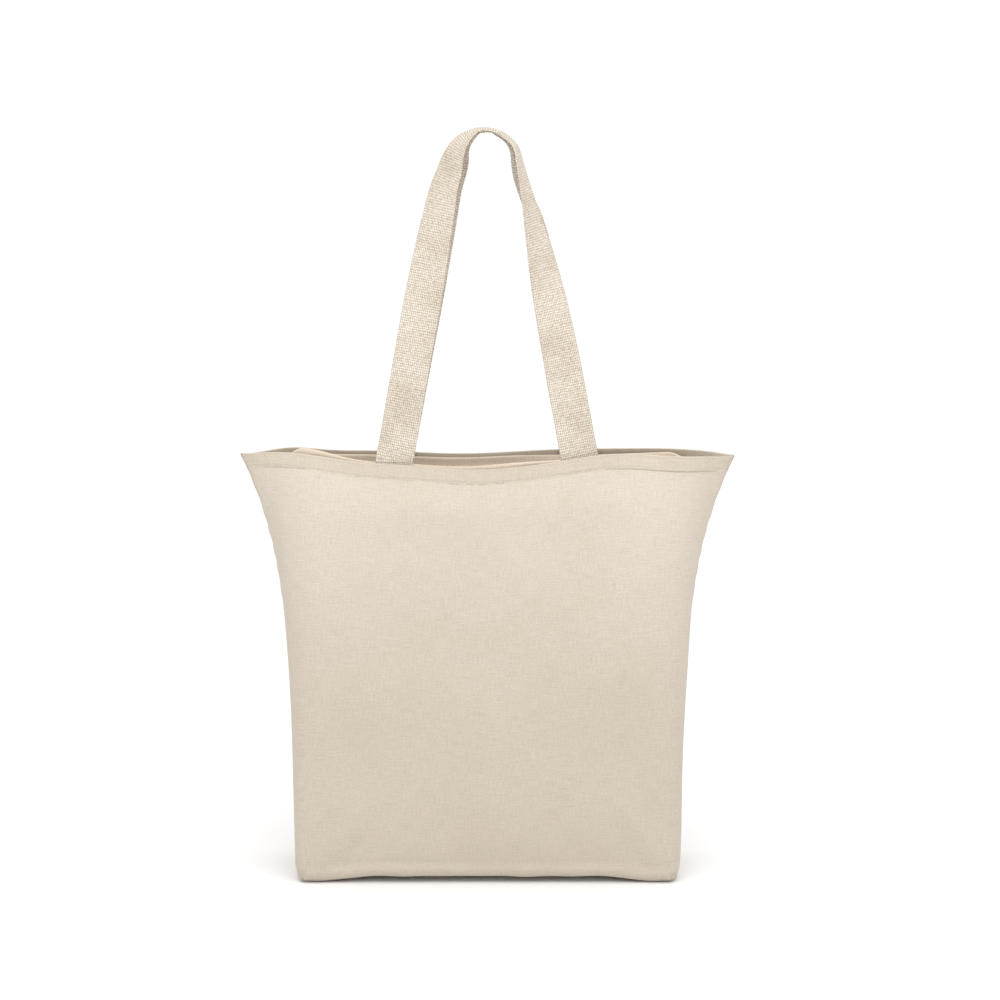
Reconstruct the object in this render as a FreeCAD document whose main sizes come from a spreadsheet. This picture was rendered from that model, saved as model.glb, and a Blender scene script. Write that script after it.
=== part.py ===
import FreeCAD, Part
import Sketcher

import math
import os

# A canvas tote bag with a zip top and two webbing handles, standing on its base.
# +Z is up, +X is to the right and -Y is the front. The origin is at the middle of the base, on the floor.
# The bag is two canvas panels. Each wraps half of the sides and half of the base, and they meet at Y = 0
# in the side seams and in the seam along the base.

SIZES = [
    ("body_height", 398.0),       # floor to rim, at the side seams
    ("panel_width", 477.0),       # one canvas panel, from side seam to side seam
    ("gusset_depth", 120.0),      # depth of the boxed base
    ("mouth_depth", 97.0),        # how far the mouth stands open at its middle
    ("belly_bulge", 8.0),         # how far the cloth bows out at mid height
    ("side_lean", 8.0),           # how far the sides lean out before they flare
    ("fold_round", 12.0),         # half the arc length of the rounded corner at the base
    ("fold_spread", 40.0),        # how much softer that corner is at the rim
    ("base_edge", 4.0),           # height of the slanted edge round the base
    ("base_inset", 2.4),          # how far that edge draws in
    ("corner_slack", 2.4),        # the rounded corners leave the base this much longer at each end
    ("canvas_wall", 1.4),
    ("hem_depth", 14.0),
    ("thread_size", 0.6),
    ("clearance", 0.3),           # between pieces that touch without being one
    ("webbing_width", 35.0),
    ("webbing_wall", 2.0),
    ("handle_spacing", 172.0),    # between the middles of one handle's two ends
    ("handle_rise", 306.0),       # from the rim to the top of the front handle
    ("handle_lean", 59.0),        # how far each leg leans in from rim to top
    ("bend_height", 22.0),        # height of the round bend at the top
    ("bend_shift", -4.0),         # the bend lies a little left of the middle
    ("handle_part", 2.0),         # the two handles' tops stand this far apart, front to back
    ("back_handle_drop", 5.0),    # the back handle's top lies lower than the front one's
    ("back_handle_shift", 5.0),   # and a little to its right
    ("placket_length", 390.0),
    ("placket_depth", 37.0),
    ("placket_wall", 1.6),
    ("placket_rise", 1.0),        # how far the placket's fold stands above the rim
    ("tape_depth", 14.0),
    ("tape_wall", 0.6),
    ("tape_overlap", 3.0),        # how much of the tape is sewn to the placket
    ("coil_size", 2.2),
    ("coil_end", 190.0),          # the coils run this far to each side of the middle
    ("zip_drop", 38.0),           # rim to closed zip
    ("slider_place", 140.0),      # middle of the slider when the zip is open
    ("slider_length", 10.0),
    ("slider_width", 11.0),
    ("slider_plate", 1.0),
    ("post_width", 1.2),
    ("stop_length", 3.0),
    ("pull_length", 24.0),
    ("pull_width", 7.0),
    ("pull_wall", 1.2),
    ("crown_height", 2.4),        # free height under the slider's crown
    ("crown_bar", 0.8),
]

doc = FreeCAD.newDocument("tote_bag")
sheet = doc.addObject("Spreadsheet::Sheet", "dims")
for row, (alias, value) in enumerate(SIZES, start=1):
    sheet.set("A%d" % row, alias)
    sheet.set("B%d" % row, str(value))
    sheet.setAlias("B%d" % row, alias)
doc.recompute()


def size(alias):
    """The sheet's value, in millimetres."""
    return float(sheet.get(alias))


HEIGHT = size("body_height")
HALF_PANEL = size("panel_width") / 2
GAP = size("clearance")


def smooth(value):
    """From 0 to 1 with no corner at either end."""
    value = min(1.0, max(0.0, value))
    return value * value * (3 - 2 * value)


# ---------- the shape of the cloth ----------

def mouth_half_angle():
    """Half the angle that each rim arc turns through, from the panel's width and the mouth's depth."""
    low, high = 0.01, math.pi / 2
    for _ in range(50):
        middle = (low + high) / 2
        if HALF_PANEL * (1 - math.cos(middle)) / middle < size("mouth_depth") / 2:
            low = middle
        else:
            high = middle
    return middle


MOUTH_ANGLE = mouth_half_angle()
RIM_HALF = HALF_PANEL * math.sin(MOUTH_ANGLE) / MOUTH_ANGLE
BASE_HALF = HALF_PANEL - size("gusset_depth") / 2 + size("corner_slack")
PATH_STEPS = 240
# How late each change from base to rim comes, as powers of the height's share.
FLARE_POWER = 4
DEPTH_POWER = 5
SEAM_POWER = 6
EVEN_POWER = 12


def half_length(z):
    """Half the bag's outer length at a height: nearly upright sides that flare out to the rim."""
    u = z / HEIGHT
    lean = size("side_lean")
    return BASE_HALF + lean * u + (RIM_HALF - BASE_HALF - lean) * u ** FLARE_POWER


def half_depth(z):
    """Half the bag's outer depth at a height."""
    u = z / HEIGHT
    base = size("gusset_depth") / 2
    belly = size("belly_bulge") * math.sin(math.pi * u)
    return base + belly + (size("mouth_depth") / 2 - base) * u ** DEPTH_POWER


def cloth_path(z, inset=0.0):
    """Points of a horizontal section of the cloth, from the right side seam to the middle of the back.

    The cloth starts at an angle to the side seam and turns to run along X: round a corner a gusset's
    half away near the base, and evenly all the way at the rim.
    """
    u = z / HEIGHT
    start = (math.pi / 2 - MOUTH_ANGLE) * u ** SEAM_POWER
    even = u ** EVEN_POWER
    spread = size("fold_round") + size("fold_spread") * u
    fold = size("gusset_depth") / 2
    step = HALF_PANEL / PATH_STEPS
    x, y = 0.0, 0.0
    points = [(x, y)]
    for index in range(PATH_STEPS):
        run = (index + 0.5) * step
        folded = smooth((run - fold + spread) / (2 * spread))
        turned = (1 - even) * folded + even * run / HALF_PANEL
        angle = start + (math.pi / 2 - start) * turned
        x -= step * math.sin(angle)
        y += step * math.cos(angle)
        points.append((x, y))
    stretch_x = half_length(z) / -x
    stretch_y = half_depth(z) / y
    points = [(half_length(z) + px * stretch_x, py * stretch_y) for px, py in points]
    return inset_path(points, inset) if inset else points


def inset_path(points, inset):
    """The path moved inwards by a wall, and trimmed where it crosses the side seam's plane."""
    moved = []
    for index, (x, y) in enumerate(points):
        x0, y0 = points[max(0, index - 1)]
        x1, y1 = points[min(len(points) - 1, index + 1)]
        run = math.hypot(x1 - x0, y1 - y0)
        moved.append((x - (y1 - y0) / run * inset, y + (x1 - x0) / run * inset))
    moved[-1] = (0.0, moved[-1][1])
    while moved[1][1] < 0:
        moved.pop(0)
    (x0, y0), (x1, y1) = moved[:2]
    moved[0] = (x0 + (x1 - x0) * (0 - y0) / (y1 - y0), 0.0)
    return moved


def cloth_depth(x, z, inset=0.0):
    """How far the cloth stands from Y = 0 at one place."""
    points = cloth_path(z, inset)
    for (x0, y0), (x1, y1) in zip(points, points[1:]):
        if x1 <= abs(x) <= x0:
            return y0 + (y1 - y0) * (x0 - abs(x)) / (x0 - x1)
    return 0.0


CURVE_POINTS = 12


def section_wire(name, z, inset, path_z=None):
    """A closed wire: the front curve and the back curve, meeting at the two side seams."""
    points = cloth_path(z if path_z is None else path_z, inset)
    picks = [round(i * (len(points) - 1) / CURVE_POINTS) for i in range(CURVE_POINTS + 1)]
    quarter = [points[i] for i in picks]
    edges = []
    for side in (-1, 1):
        right = [FreeCAD.Vector(x, side * y, z) for x, y in quarter]
        left = [FreeCAD.Vector(-x, side * y, z) for x, y in reversed(quarter[:-1])]
        route = right + left if side > 0 else list(reversed(right + left))
        curve = Part.BSplineCurve()
        curve.interpolate(route)
        edges.append(curve.toShape())
    feature = doc.addObject("Part::Feature", name)
    feature.Shape = Part.Wire(edges)
    return feature


def loft(name, sections, ruled=False):
    feature = doc.addObject("Part::Loft", name)
    feature.Sections = sections
    feature.Solid = True
    feature.Ruled = ruled
    return feature


def heights():
    """Where the bag's sections lie: close together at the base's edge and at the hem."""
    edge = size("base_edge")
    between = [0.12, 0.27, 0.42, 0.56, 0.69, 0.80, 0.89]
    return [edge] + [HEIGHT * share for share in between] + [HEIGHT - size("hem_depth"), HEIGHT]


def bag_shell():
    """Both panels as one hollow shell, open at the rim, with a slanted edge round the base."""
    edge = size("base_edge")
    draw = size("base_inset")
    wall = size("canvas_wall")
    rings = heights()
    outer = [section_wire("outer_%d" % i, z, 0.0) for i, z in enumerate(rings)]
    floor = [section_wire("floor_0", 0.0, draw, edge), section_wire("floor_1", edge, 0.0)]
    inner = [section_wire("inner_%d" % i, z, wall) for i, z in enumerate([edge] + rings[1:])]
    well = [section_wire("well_0", wall, wall + draw, edge), section_wire("well_1", edge, wall)]
    solid = doc.addObject("Part::Fuse", "outer_solid")
    solid.Base = loft("outer_side", outer)
    solid.Tool = loft("outer_floor", floor, ruled=True)
    hollow = doc.addObject("Part::Fuse", "inner_solid")
    hollow.Base = loft("inner_side", inner)
    hollow.Tool = loft("inner_floor", well, ruled=True)
    shell = doc.addObject("Part::Cut", "bag_shell")
    shell.Base = solid
    shell.Tool = hollow
    return shell


def panels():
    """The shell parted at the side seams into the front and the back panel."""
    shell = bag_shell()
    for label, start in (("front_panel", "-dims.panel_width"), ("back_panel", "0")):
        half = doc.addObject("Part::Box", label + "_half")
        half.setExpression("Length", "2 * dims.panel_width")
        half.setExpression("Width", "dims.panel_width")
        half.setExpression("Height", "2 * dims.body_height")
        half.setExpression("Placement.Base.x", "-dims.panel_width")
        half.setExpression("Placement.Base.y", start)
        half.setExpression("Placement.Base.z", "-dims.body_height / 2")
        panel = doc.addObject("Part::Common", label)
        panel.Base = shell
        panel.Tool = half
        node(panel, label)


# ---------- helpers for the strips ----------

NODES = []


def node(feature, label):
    """Gives a finished sub-part its label, and lists it for writing."""
    feature.Label = label
    NODES.append(feature)
    return feature


def mirrored(source, label):
    """The same piece on the back of the bag."""
    feature = doc.addObject("Part::Mirroring", label)
    feature.Source = source
    feature.Normal = FreeCAD.Vector(0, 1, 0)
    return node(feature, label)


def compound(label, pieces):
    feature = doc.addObject("Part::Compound", label)
    feature.Links = pieces
    return feature


def polygon(name, corners):
    feature = doc.addObject("Part::Feature", name)
    feature.Shape = Part.makePolygon(corners + corners[:1])
    return feature


def strip(name, stations, corners_at):
    """A strip that runs along X: a ruled loft of the polygons that corners_at gives at each station."""
    sections = []
    for index, x in enumerate(stations):
        corners = [FreeCAD.Vector(x, -y, z) for y, z in corners_at(x)]
        sections.append(polygon("%s_%d" % (name, index), corners))
    return loft(name, sections, ruled=True)


def spread(start, end, longest):
    """Evenly spaced stations from start to end."""
    count = math.ceil((end - start) / longest)
    return [start + (end - start) * i / count for i in range(count + 1)]


# ---------- hem stitching ----------

STITCHING_STATION = 20.0            # longest straight run of the stitching round the curved panel

def stitching_corners(x, z):
    thread = size("thread_size")
    near = cloth_depth(x, z) + GAP
    return [(near, z), (near + thread, z), (near + thread, z + thread), (near, z + thread)]


def hem_stitching():
    """One row of thread along the lower edge of the hem."""
    level = HEIGHT - size("hem_depth")
    reach = half_length(level) - size("hem_depth")
    stations = spread(-reach, reach, STITCHING_STATION)
    run = strip("front_hem_stitching", stations, lambda x: stitching_corners(x, level))
    node(run, "front_hem_stitching")
    mirrored(run, "back_hem_stitching")


# ---------- handles ----------

LEG = size("handle_spacing") / 2
HALF_WEB = size("webbing_width") / 2


def sewn_end_corners(side, z):
    """The webbing's section inside the hem: its outer face is a chord of the panel's inner face."""
    wall = size("canvas_wall")
    inner_x = LEG - HALF_WEB
    outer_x = LEG + HALF_WEB
    inner_y = cloth_depth(inner_x, z, wall) - GAP
    outer_y = cloth_depth(outer_x, z, wall) - GAP
    thick = size("webbing_wall")
    corners = [(inner_x, inner_y), (outer_x, outer_y), (outer_x, outer_y - thick), (inner_x, inner_y - thick)]
    return [FreeCAD.Vector(side * x, -y, z) for x, y in corners]


def handle_ends():
    """The two ends of the front handle's webbing, sewn in behind the hem."""
    ends = []
    for side, word in ((-1, "left"), (1, "right")):
        low = polygon("end_low_" + word, sewn_end_corners(side, HEIGHT - size("hem_depth")))
        high = polygon("end_high_" + word, sewn_end_corners(side, HEIGHT))
        ends.append(loft("front_handle_end_" + word, [low, high], ruled=True))
    node(compound("front_handle_ends", ends), "front_handle_ends")
    mirrored(compound("front_ends_source", ends), "back_handle_ends")


def handle_base():
    """Middle of the webbing at the rim, and how far it is turned there."""
    wall = size("canvas_wall")
    inner_y = cloth_depth(LEG - HALF_WEB, HEIGHT, wall)
    outer_y = cloth_depth(LEG + HALF_WEB, HEIGHT, wall)
    middle = (inner_y + outer_y) / 2 - GAP - size("webbing_wall") / 2
    return middle, math.atan2(inner_y - outer_y, 2 * HALF_WEB)


LEG_STATIONS = 9
BEND_STATIONS = 5
LEFT_TURN_POWER = 3.0
RIGHT_TURN_POWER = 1.6


def handle_stations(rise, shift):
    """Centre line of a handle from its left end to its right one: (x, height above the rim, turn)."""
    base_turn = handle_base()[1]
    bend = size("bend_height")
    leg_top = rise - bend
    bend_half = LEG - size("handle_lean") * leg_top / rise
    stations = []
    for side, power in ((-1, LEFT_TURN_POWER), (1, RIGHT_TURN_POWER)):
        leg = []
        for index in range(LEG_STATIONS):
            share = index / LEG_STATIONS
            up = GAP + (leg_top - GAP) * share
            x = side * (LEG - (LEG - bend_half) * share)
            leg.append((x, up))
        for index in range(BEND_STATIONS):
            angle = math.pi / 2 * index / BEND_STATIONS
            leg.append((side * bend_half * math.cos(angle), leg_top + bend * math.sin(angle)))
        turned = []
        for x, up in leg:
            share = up / rise
            turn = base_turn + (math.pi / 2 - base_turn) * share ** power
            turned.append((x + shift * share ** 2, up, turn))
        stations.append(turned)
    left, right = stations
    return left + [(shift, rise, math.pi / 2)] + right[::-1]


def handle_loop(label, front, rise, shift):
    """One handle's free webbing, which turns from facing forwards at its ends to facing up at its top."""
    base_y = handle_base()[0]
    reach = HALF_WEB + size("handle_part") / 2
    thick = size("webbing_wall") / 2
    stations = handle_stations(rise, shift)
    line = []
    for x, up, _ in stations:
        y = base_y + (reach - base_y) * smooth(up / rise)
        line.append(FreeCAD.Vector(x, -y, HEIGHT + up))
    sections = []
    for index, (_, _, turn) in enumerate(stations):
        ahead = line[min(index + 1, len(line) - 1)] - line[max(index - 1, 0)]
        ahead.y = 0
        if index in (0, len(stations) - 1):
            ahead = FreeCAD.Vector(0, 0, 1 if index == 0 else -1)
        ahead.normalize()
        flat = FreeCAD.Vector(ahead.z, 0, -ahead.x)
        across = flat * math.cos(turn) + FreeCAD.Vector(0, -math.sin(turn), 0)
        normal = ahead.cross(across)
        corners = [line[index] + across * a * HALF_WEB + normal * b * thick
                   for a, b in ((-1, -1), (1, -1), (1, 1), (-1, 1))]
        if not front:
            corners = [FreeCAD.Vector(c.x, -c.y, c.z) for c in corners]
        sections.append(polygon("%s_%d" % (label, index), corners))
    node(loft(label, sections, ruled=True), label)


def handles():
    rise = size("handle_rise")
    shift = size("bend_shift")
    handle_loop("front_handle", True, rise, shift)
    handle_loop("back_handle", False, rise - size("back_handle_drop"), shift + size("back_handle_shift"))


# ---------- zip ----------

ZIP_LEVEL = HEIGHT - size("zip_drop")
COIL_ROUND = size("coil_size") / 2
COIL_ROOM = 0.2                     # half the room between the two closed coils
COIL_MIDDLE = COIL_ROUND + COIL_ROOM
TAPE_EDGE = COIL_MIDDLE + COIL_ROUND + GAP
TAPE_FLAT = 8.0                     # the tape lies level this far out from a closed coil
MEET = size("slider_place") + 1.0   # the coils meet from here on
PART = size("slider_place") - size("slider_length")   # and are well apart here
PART_SLOPE = 0.25
ZIP_STATION = 25.0                  # longest straight run of the placket, tape and coil
CHORD_ROOM = 0.5                    # straight strips cut inside the curve of the panel by less than this


def fold_depth(x):
    """How far the tape's line lies from Y = 0 at the placket's fold, at the level of the rim."""
    behind_panel = 2 * GAP + size("webbing_wall") + CHORD_ROOM
    layers = size("placket_wall") + GAP + size("tape_wall") / 2
    return cloth_depth(x, HEIGHT, size("canvas_wall")) - behind_panel - layers


def zip_line(x):
    """The strip from coil to fold, as three (depth, height) points: tape edge, bend and fold.

    Open, it hangs straight down from the fold. Near the closed end it comes in level to meet its twin.
    """
    fold = (fold_depth(x), HEIGHT + size("placket_rise"))
    drop = size("placket_depth") + size("tape_depth") - size("tape_overlap")
    hang_edge = (fold[0], fold[1] - drop)
    hang_bend = (fold[0], hang_edge[1] + TAPE_FLAT)
    apart = TAPE_EDGE + PART_SLOPE * max(0.0, MEET - max(x, PART))
    shut_edge = (apart, ZIP_LEVEL)
    shut_bend = (apart + TAPE_FLAT, ZIP_LEVEL)
    share = smooth(x / PART)
    edge = [hang_edge[i] + (shut_edge[i] - hang_edge[i]) * share for i in (0, 1)]
    bend = [hang_bend[i] + (shut_bend[i] - hang_bend[i]) * share for i in (0, 1)]
    return edge, bend, fold


def unit(start, end):
    run = math.hypot(end[0] - start[0], end[1] - start[1])
    return (end[0] - start[0]) / run, (end[1] - start[1]) / run


def shifted(point, along, amount):
    return point[0] + along[0] * amount, point[1] + along[1] * amount


def outward(along):
    """Normal of a direction in the (depth, height) plane, pointing to the panel."""
    return along[1], -along[0]


def placket_corners(x):
    """Folded double canvas between the rim and the tape, on the panel's side of the tape."""
    bend, fold = zip_line(x)[1:]
    up = unit(bend, fold)
    out = outward(up)
    near = size("tape_wall") / 2 + GAP
    far = near + size("placket_wall")
    low = shifted(bend, up, size("tape_depth") - TAPE_FLAT - size("tape_overlap"))
    return [
        shifted(low, out, near),
        shifted(low, out, far),
        shifted(fold, out, far),
        shifted(fold, out, near),
    ]


def tape_corners(x):
    edge, bend, fold = zip_line(x)
    level = unit(edge, bend)
    up = unit(bend, fold)
    half = size("tape_wall") / 2
    top = shifted(bend, up, size("tape_depth") - TAPE_FLAT)
    side = (outward(level)[0] + outward(up)[0], outward(level)[1] + outward(up)[1])
    mitre = 2 * half / (side[0] ** 2 + side[1] ** 2)
    return [
        shifted(edge, outward(level), half),
        shifted(bend, side, mitre),
        shifted(top, outward(up), half),
        shifted(top, outward(up), -half),
        shifted(bend, side, -mitre),
        shifted(edge, outward(level), -half),
    ]


def coil_middle(x):
    edge, bend = zip_line(x)[:2]
    return shifted(edge, unit(bend, edge), GAP + COIL_ROUND)


def zip_stations(start, end):
    """Stations along the zip: even ones where it hangs, and the places where its coils part and meet."""
    return spread(start, PART, ZIP_STATION) + [MEET] + spread(MEET, end, ZIP_STATION)[1:]


def zip_strips():
    half = size("placket_length") / 2
    placket = strip("front_placket", zip_stations(-half, half), placket_corners)
    node(placket, "front_placket")
    mirrored(placket, "back_placket")
    tape = strip("front_zip_tape", zip_stations(-half, half), tape_corners)
    node(tape, "front_zip_tape")
    mirrored(tape, "back_zip_tape")


COIL_SIDES = 8                      # the coil's section is an octagon


def coil_corners(x):
    middle = coil_middle(x)
    corners = []
    for index in range(COIL_SIDES):
        angle = 2 * math.pi * (index + 0.5) / COIL_SIDES
        corners.append((middle[0] + COIL_ROUND * math.cos(angle), middle[1] + COIL_ROUND * math.sin(angle)))
    return corners


def zip_coils():
    """The two coils, each as a rod of the coil's outer shape."""
    end = size("coil_end")
    coil = strip("front_zip_coil", zip_stations(-end, end), coil_corners)
    node(coil, "front_zip_coil")
    mirrored(coil, "back_zip_coil")


def stop_box(name, x, middle, half_deep, half_high):
    """A small block round one place on the coils."""
    block = doc.addObject("Part::Box", name)
    block.setExpression("Length", "dims.stop_length")
    block.Width = 2 * half_deep
    block.Height = 2 * half_high
    block.Placement.Base = FreeCAD.Vector(x, middle[0] - half_deep, middle[1] - half_high)
    return block


def zip_stops():
    """One stop holds both coils at the closed end, and one ends each coil at the open end."""
    end = size("coil_end")
    closed = end + GAP
    block = stop_box("zip_bottom_stop", closed, (0.0, ZIP_LEVEL), TAPE_EDGE - GAP, COIL_ROUND + GAP)
    node(block, "zip_bottom_stop")
    open_end = -end - GAP - size("stop_length")
    depth, level = coil_middle(-end)
    pieces = []
    for side, word in ((-1, "front"), (1, "back")):
        middle = (side * depth, level)
        pieces.append(stop_box("zip_top_stop_" + word, open_end, middle, COIL_ROUND, COIL_ROUND))
    node(compound("zip_top_stops", pieces), "zip_top_stops")


# ---------- zip slider and pull ----------

PLATE_LOW = COIL_ROUND + GAP        # the slider's plates clear the coils by this much from their line
SLIT = size("tape_wall") / 2 + GAP  # half the height of the slit that the tape runs through
POST_START = 0.3                    # the post stands this far in from the slider's mouth end
POST_LENGTH = 1.9
CROWN_SHARE = 0.66                  # the crown spans this share of the slider's length
CROWN_WIDTH = 1.5                   # width of its bar, as a multiple of the bar's thickness
PLATE_ROUND = 0.4                   # corner radius as a share of the plate's half width
TAB_ROUND = 0.45                    # the same for the pull
SLOT_LENGTH = 4.4


def rectangle_sketch(body, name, role, span, offset):
    """A rectangle from (x0, y0) to (x1, y1) on one of the body's own planes, its sides constrained."""
    plane = [f for f in body.Origin.OriginFeatures if f.Role == role][0]
    sketch = body.newObject("Sketcher::SketchObject", name)
    sketch.AttachmentSupport = [(plane, "")]
    sketch.MapMode = "FlatFace"
    sketch.AttachmentOffset = FreeCAD.Placement(FreeCAD.Vector(0, 0, offset), FreeCAD.Rotation())
    x0, y0, x1, y1 = span
    corners = [FreeCAD.Vector(x0, y0), FreeCAD.Vector(x1, y0), FreeCAD.Vector(x1, y1), FreeCAD.Vector(x0, y1)]
    for index in range(4):
        sketch.addGeometry(Part.LineSegment(corners[index], corners[(index + 1) % 4]))
    for index in range(4):
        sketch.addConstraint(Sketcher.Constraint("Coincident", index, 2, (index + 1) % 4, 1))
    for index, kind in enumerate(("Horizontal", "Vertical", "Horizontal", "Vertical")):
        sketch.addConstraint(Sketcher.Constraint(kind, index))
    sketch.addConstraint(Sketcher.Constraint("DistanceX", -1, 1, 0, 1, x0))
    sketch.addConstraint(Sketcher.Constraint("DistanceY", -1, 1, 0, 1, y0))
    sketch.addConstraint(Sketcher.Constraint("DistanceX", 0, 1, 0, 2, x1 - x0))
    sketch.addConstraint(Sketcher.Constraint("DistanceY", 1, 1, 1, 2, y1 - y0))
    return sketch


def pad(body, name, span, low, length):
    """Adds a block to a body: a rectangle in its XY plane, from a height, this tall."""
    sketch = rectangle_sketch(body, name + "_sketch", "XY_Plane", span, low)
    feature = body.newObject("PartDesign::Pad", name)
    feature.Profile = sketch
    if isinstance(length, str):
        feature.setExpression("Length", length)
    else:
        feature.Length = length
    return feature


def round_upright_edges(body, base, name, radius):
    """Rounds the upright edges at the outer corners of the body's last block."""
    doc.recompute()
    shape = base.Shape
    box = shape.BoundBox
    picked = []
    for index, edge in enumerate(shape.Edges, start=1):
        ends = [v.Point for v in edge.Vertexes]
        if len(ends) != 2 or abs(ends[0].x - ends[1].x) + abs(ends[0].y - ends[1].y) > 1e-6:
            continue
        at_end = min(abs(ends[0].x - box.XMin), abs(ends[0].x - box.XMax)) < 1e-6
        at_side = min(abs(ends[0].y - box.YMin), abs(ends[0].y - box.YMax)) < 1e-6
        if at_end and at_side:
            picked.append("Edge%d" % index)
    feature = body.newObject("PartDesign::Fillet", name)
    feature.Base = (base, picked)
    feature.Radius = radius
    return feature


def new_body(label, place):
    body = doc.addObject("PartDesign::Body", label)
    doc.recompute()
    for axis, expression in zip("xyz", place):
        body.setExpression("Placement.Base." + axis, expression)
    return node(body, label)


def zip_slider():
    """Two plates joined by a post between the parting coils, with flanges that hold them together."""
    body = new_body("zip_slider", ("dims.slider_place", "0", "dims.body_height - dims.zip_drop"))
    half = size("slider_length") / 2
    wide = size("slider_width") / 2
    plate = size("slider_plate")
    flange_in = TAPE_EDGE + 2 * GAP
    post = size("post_width") / 2
    post_start = -half + POST_START
    pad(body, "lower_plate", (-half, -wide, half, wide), -PLATE_LOW - plate, "dims.slider_plate")
    pad(body, "post", (post_start, -post, post_start + POST_LENGTH, post), -PLATE_LOW, 2 * PLATE_LOW)
    top = pad(body, "upper_plate", (-half, -wide, half, wide), PLATE_LOW, "dims.slider_plate")
    round_upright_edges(body, top, "plate_corners", wide * PLATE_ROUND)
    for side, word in ((-1, "front"), (1, "back")):
        near, far = sorted((side * flange_in, side * (wide - GAP)))
        span = (half / 3, near, half - wide * PLATE_ROUND, far)
        pad(body, "lower_flange_" + word, span, -PLATE_LOW, PLATE_LOW - SLIT)
        pad(body, "upper_flange_" + word, span, SLIT, PLATE_LOW - SLIT)
    top_level = PLATE_LOW + plate
    crown_half = half * CROWN_SHARE
    leg = size("crown_bar") * CROWN_WIDTH
    for side, word in ((-1, "mouth"), (1, "tail")):
        near, far = sorted((side * crown_half, side * (crown_half - leg)))
        pad(body, "crown_leg_" + word, (near, -leg / 2, far, leg / 2), top_level, "dims.crown_height")
    bar_low = top_level + size("crown_height")
    pad(body, "crown_top", (-crown_half, -leg / 2, crown_half, leg / 2), bar_low, "dims.crown_bar")


def zip_pull():
    """A flat tab with a slot, whose end bar turns under the slider's crown. It lies along the zip."""
    thick = size("pull_wall")
    bar = thick / 2
    hinge = PLATE_LOW + size("slider_plate") + math.hypot(bar, thick / 2) + GAP / 2
    level = "dims.body_height - dims.zip_drop + %.4f" % hinge
    body = new_body("zip_pull", ("dims.slider_place", "0", level))
    wide = size("pull_width") / 2
    long = size("pull_length")
    tab = pad(body, "tab", (-bar, -wide, long, wide), -thick / 2, "dims.pull_wall")
    rounded = round_upright_edges(body, tab, "tab_corners", wide * TAB_ROUND)
    doc.recompute()
    slot_half = size("crown_bar") * CROWN_WIDTH / 2 + 2 * GAP
    span = (bar, -slot_half, bar + SLOT_LENGTH, slot_half)
    sketch = rectangle_sketch(body, "slot_sketch", "XY_Plane", span, -thick)
    slot = body.newObject("PartDesign::Pocket", "slot")
    slot.Profile = sketch
    slot.Type = "ThroughAll"
    slot.Midplane = True
    doc.recompute()
    if not slot.Shape.Volume < rounded.Shape.Volume:
        raise RuntimeError("the slot cut nothing")


# ---------- build, check and write ----------

def check_and_write():
    doc.recompute()
    for feature in doc.Objects:
        if "Invalid" in feature.State or "Error" in feature.State:
            raise RuntimeError("%s failed: %s" % (feature.Name, feature.State))
    for feature in NODES:
        shape = feature.Shape
        if shape.isNull() or not shape.isValid() or not shape.Solids:
            raise RuntimeError("%s has no valid solid" % feature.Label)
    os.makedirs("parts", exist_ok=True)
    for feature in NODES:
        feature.Shape.exportStep("parts/%s.step" % feature.Label)
        box = feature.Shape.BoundBox
        extent = (box.XMin, box.XMax, box.YMin, box.YMax, box.ZMin, box.ZMax)
        facts = (feature.Label, len(feature.Shape.Solids), feature.Shape.Volume)
        print("%-22s %2d solids %10.1f mm3 " % facts, " ".join("%.1f" % value for value in extent))


panels()
hem_stitching()
handle_ends()
handles()
zip_strips()
zip_coils()
zip_stops()
zip_slider()
zip_pull()
check_and_write()
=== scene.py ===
import math

import bpy
import numpy as np
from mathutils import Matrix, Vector


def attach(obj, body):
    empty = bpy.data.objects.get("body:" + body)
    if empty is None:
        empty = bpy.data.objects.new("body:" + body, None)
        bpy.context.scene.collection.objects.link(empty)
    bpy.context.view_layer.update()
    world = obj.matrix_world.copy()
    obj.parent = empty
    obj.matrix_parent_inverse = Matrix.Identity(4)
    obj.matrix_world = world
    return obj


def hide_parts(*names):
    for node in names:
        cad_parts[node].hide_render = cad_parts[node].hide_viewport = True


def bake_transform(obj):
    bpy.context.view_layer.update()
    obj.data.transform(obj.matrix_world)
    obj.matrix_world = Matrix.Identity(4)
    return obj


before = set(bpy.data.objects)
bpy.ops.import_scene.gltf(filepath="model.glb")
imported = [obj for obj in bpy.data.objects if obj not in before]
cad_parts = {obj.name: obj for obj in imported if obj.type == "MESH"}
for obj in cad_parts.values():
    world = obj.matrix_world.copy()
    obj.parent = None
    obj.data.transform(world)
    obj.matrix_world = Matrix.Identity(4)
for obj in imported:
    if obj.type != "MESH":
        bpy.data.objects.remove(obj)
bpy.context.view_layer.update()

# ---------- sizes, in metres, as in the CAD ----------

HEIGHT = 0.398
HALF_PANEL = 0.2385
GUSSET = 0.120
MOUTH = 0.097
BELLY = 0.008
LEAN = 0.008
FOLD_ROUND = 0.012
FOLD_SPREAD = 0.040
WALL = 0.0014
HEM = 0.014
GAP = 0.0003
WEB = 0.035
WEB_THICK = 0.002
LEG = 0.086
RISE = 0.306
LEG_LEAN = 0.059
BEND = 0.022
SHIFT = -0.004
REACH = 0.0185
BACK_DROP = 0.0037
BACK_SHIFT = 0.005
PLACKET_HALF = 0.195
PLACKET_DEPTH = 0.037
PLACKET_WALL = 0.0016
TAPE_DEPTH = 0.014
TAPE_WALL = 0.0006
TAPE_OVERLAP = 0.003
TAPE_FLAT = 0.008
COIL_ROUND = 0.0011
COIL_END = 0.190
TAPE_EDGE = 0.0027
ZIP_LEVEL = HEIGHT - 0.038
MEET = 0.141
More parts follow.
